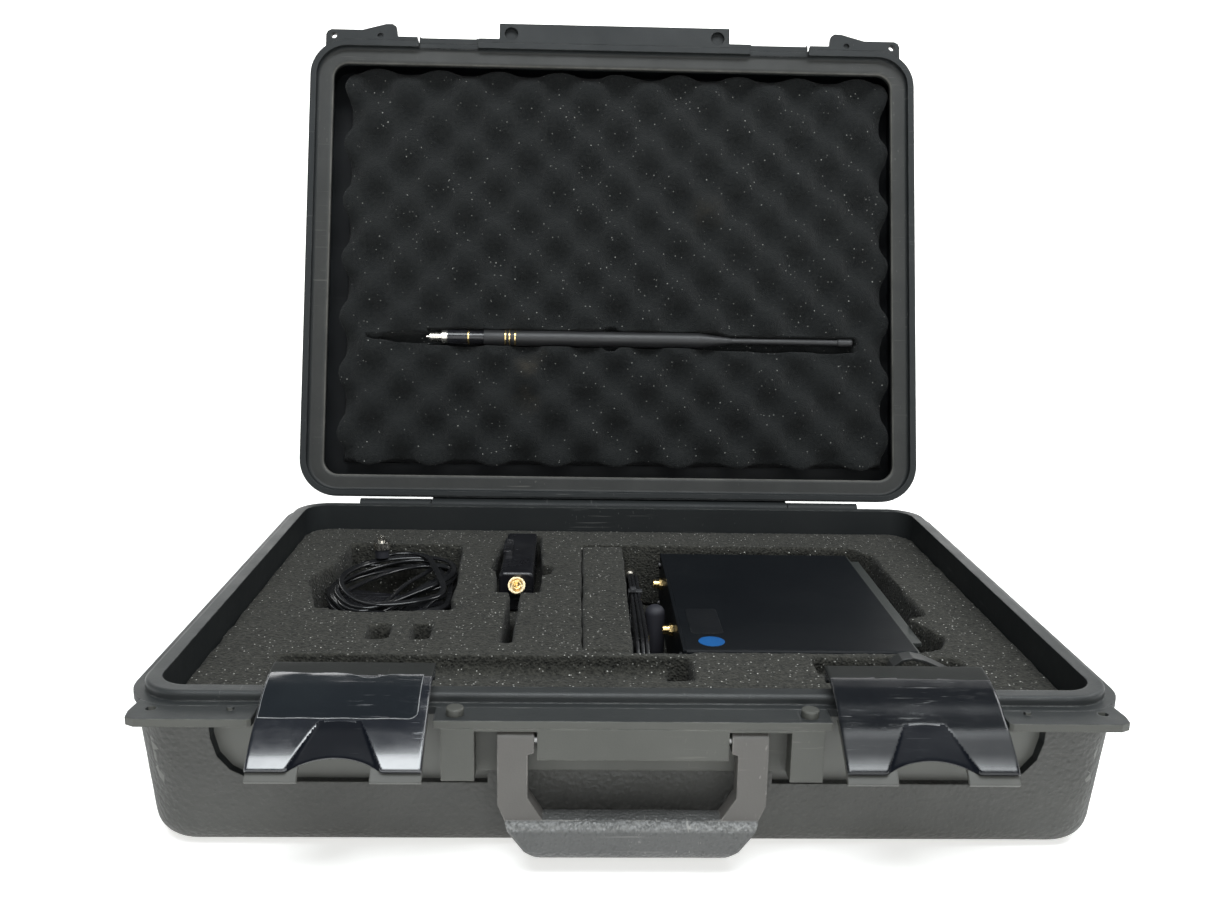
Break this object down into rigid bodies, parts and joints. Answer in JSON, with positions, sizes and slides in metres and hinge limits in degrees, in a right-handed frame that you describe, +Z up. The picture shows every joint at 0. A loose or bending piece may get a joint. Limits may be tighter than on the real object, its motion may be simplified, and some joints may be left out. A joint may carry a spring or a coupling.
{
  "type": "logic analyzer kit in carry case",
  "caption": "Open moulded carry case with foam pockets holding a small analyzer, charger with cord, RF adapter and test lead, and a whip antenna stored in the lid foam.",
  "frame": {"origin": "centre of the flat underside of the base, on the surface it stands on", "axes": "+X to the right seen from the handle side, +Y from the handle towards the hinge, +Z up; the lid rests open at its stop"},
  "size_m": [0.5, 0.5715, 0.464],
  "materials": {
    "case_plastic": "satin",
    "bracket_plastic": "satin",
    "handle_plastic": "satin",
    "latch_gloss": "gloss",
    "latch_frame": "satin",
    "clear_film": "gloss",
    "steel": "satin",
    "black_screw": "satin",
    "base_foam": "matte",
    "lid_foam": "matte",
    "anodised_black": "satin",
    "panel_black": "satin",
    "board_green": "satin",
    "gold": "polished",
    "nickel": "polished",
    "feet_rubber": "matte",
    "label_black": "satin",
    "dot_blue": "matte",
    "cord_black": "satin",
    "boot_rubber": "matte",
    "abs_black": "satin",
    "antenna_rubber": "satin",
    "tie_nylon": "satin",
    "clip_grey": "satin"
  },
  "bodies": {
    "base": {"base_shell": "case_plastic", "base_front_flange": "case_plastic", "guide_pins": "case_plastic", "handle_bracket": "bracket_plastic", "handle_pins": "steel", "base_hinge_leaves": "case_plastic", "hinge_pin": "steel", "latch_mounts": "latch_frame", "latch_pins": "steel", "base_foam_pad": "base_foam", "base_foam": "base_foam", "foam_divider": "base_foam", "spring_clip": "clip_grey"},
    "lid": {"lid_shell": "case_plastic", "lid_front_flange": "case_plastic", "lid_hinge_leaf": "case_plastic", "lid_foam": "lid_foam"},
    "handle": {"carry_handle": "handle_plastic"},
    "left_latch": {"left_latch_body": "latch_frame", "left_lever_pin": "steel"},
    "left_lever": {"left_latch_lever": "latch_gloss", "left_lever_film": "clear_film"},
    "right_latch": {"right_latch_body": "latch_frame", "right_lever_pin": "steel"},
    "right_lever": {"right_latch_lever": "latch_gloss"},
    "analyzer": {"analyzer_housing": "anodised_black", "circuit_board": "board_green", "analyzer_front_panel": "anodised_black", "analyzer_rear_panel": "panel_black", "panel_screws": "black_screw", "rf_connectors": "gold", "rf_connector_nuts": "gold", "rubber_feet": "feet_rubber", "blank_label": "label_black", "marker_dot": "dot_blue"},
    "test_lead": {"lead_coil": "cord_black", "lead_tie": "tie_nylon", "lead_boot": "boot_rubber", "lead_plug": "nickel"},
    "charger": {"charger_housing": "abs_black", "charger_gland": "boot_rubber", "power_cord_coil": "cord_black", "dc_plug_boot": "boot_rubber", "dc_plug_shell": "nickel"},
    "rf_adapter": {"adapter_housing": "abs_black", "adapter_end_cap": "abs_black", "adapter_clip": "abs_black", "rf_jack": "gold", "rf_jack_ring": "gold"},
    "antenna": {"antenna_plug": "nickel", "antenna_flange": "nickel", "antenna_coupling": "abs_black", "antenna_collar": "abs_black", "antenna_bands": "gold", "antenna_sleeve": "antenna_rubber", "antenna_whip": "antenna_rubber", "antenna_tip": "antenna_rubber"}
  },
  "joints": [
    {"name": "lid_hinge", "type": "hinge", "parent": "base", "child": "lid", "pos_m": [0, 0.1914, 0.08], "axis": [-1, 0, 0], "range_deg": [-106, 0]},
    {"name": "left_latch_hinge", "type": "hinge", "parent": "base", "child": "left_latch", "pos_m": [-0.1381, -0.188, 0.068], "axis": [-1, 0, 0], "range_deg": [-65.1, 0]},
    {"name": "left_lever_hinge", "type": "hinge", "parent": "left_latch", "child": "left_lever", "pos_m": [-0.1381, -0.1745, 0.0893], "axis": [-1, 0, 0], "range_deg": [0, 80]},
    {"name": "right_latch_hinge", "type": "hinge", "parent": "base", "child": "right_latch", "pos_m": [0.1381, -0.188, 0.068], "axis": [-1, 0, 0], "range_deg": [-65.1, 0]},
    {"name": "right_lever_hinge", "type": "hinge", "parent": "right_latch", "child": "right_lever", "pos_m": [0.1381, -0.1745, 0.0893], "axis": [-1, 0, 0], "range_deg": [0, 80]},
    {"name": "handle_hinge", "type": "hinge", "parent": "base", "child": "handle", "pos_m": [0, -0.2025, 0.069], "axis": [-1, 0, 0], "range_deg": [0, 90]},
    {"name": "analyzer_lift", "type": "slide", "parent": "base", "child": "analyzer", "axis": [0, 0, 1], "range_m": [0, 0.1]},
    {"name": "test_lead_lift", "type": "slide", "parent": "base", "child": "test_lead", "axis": [0, 0, 1], "range_m": [0, 0.08]},
    {"name": "charger_lift", "type": "slide", "parent": "base", "child": "charger", "axis": [0, 0, 1], "range_m": [0, 0.09]},
    {"name": "adapter_lift", "type": "slide", "parent": "base", "child": "rf_adapter", "axis": [0, 0, 1], "range_m": [0, 0.06]},
    {"name": "antenna_lift", "type": "slide", "parent": "lid", "child": "antenna", "axis": [0, -0.9613, 0.2756], "range_m": [0, 0.06]}
  ],
  "couplings": [
    {"joint": "left_latch_hinge", "follows": "lid_hinge", "ratio": 0.61321},
    {"joint": "right_latch_hinge", "follows": "lid_hinge", "ratio": 0.61321}
  ]
}
